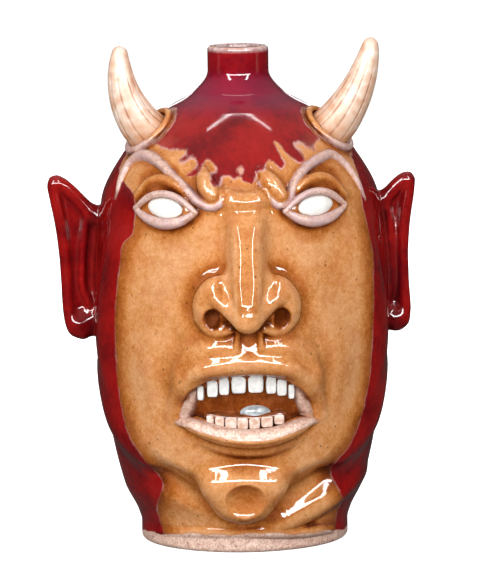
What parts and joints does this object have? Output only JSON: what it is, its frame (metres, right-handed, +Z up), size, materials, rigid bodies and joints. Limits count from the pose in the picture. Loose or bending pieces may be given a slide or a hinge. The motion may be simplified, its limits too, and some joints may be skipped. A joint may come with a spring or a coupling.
{
  "type": "face jug",
  "caption": "Thrown stoneware jug with a devil's face: luted nose, lips, brows, eyelids, ears and horns, china teeth, a narrow open neck and a strap handle.",
  "frame": {"origin": "middle of the foot's flat underside, on the jug's turning axis", "axes": "+Z up along the neck, the face looks along -Y, +X is the viewer's right"},
  "size_m": [0.194, 0.1829, 0.2655],
  "materials": {
    "red_glaze": "glossy copper-red glaze",
    "tan_glaze": "glossy amber glaze",
    "bare_clay": "thinly glazed bare clay",
    "white_clay": "unglazed white clay",
    "china": "glossy white china",
    "tongue_glaze": "glassy pale glaze"
  },
  "bodies": {
    "root": {"jug_body": "red_glaze", "handle": "red_glaze", "nose": "tan_glaze", "upper_lip": "tan_glaze", "lower_lip": "bare_clay", "upper_gum": "tan_glaze", "lower_gum": "tan_glaze", "tongue": "tongue_glaze", "chin": "tan_glaze", "left_ear": "red_glaze", "left_horn": "white_clay", "left_horn_collar": "bare_clay", "left_brow": "bare_clay", "left_frown_pad": "tan_glaze", "left_upper_lid": "bare_clay", "left_lower_lid": "bare_clay", "left_eyeball": "white_clay", "left_nostril": "tan_glaze", "left_cheek": "tan_glaze", "left_jaw": "tan_glaze", "left_mouth_corner": "bare_clay", "right_ear": "red_glaze", "right_horn": "white_clay", "right_horn_collar": "bare_clay", "right_brow": "bare_clay", "right_frown_pad": "tan_glaze", "right_upper_lid": "bare_clay", "right_lower_lid": "bare_clay", "right_eyeball": "white_clay", "right_nostril": "tan_glaze", "right_cheek": "tan_glaze", "right_jaw": "tan_glaze", "right_mouth_corner": "bare_clay", "upper_tooth_1": "china", "upper_tooth_2": "china", "upper_tooth_3": "china", "upper_tooth_4": "china", "upper_tooth_5": "china", "upper_tooth_6": "china", "upper_tooth_7": "china", "upper_tooth_8": "china", "lower_tooth_1": "china", "lower_tooth_2": "china", "lower_tooth_3": "china", "lower_tooth_4": "china", "lower_tooth_5": "china", "lower_tooth_6": "china", "lower_tooth_7": "china"}
  },
  "joints": []
}
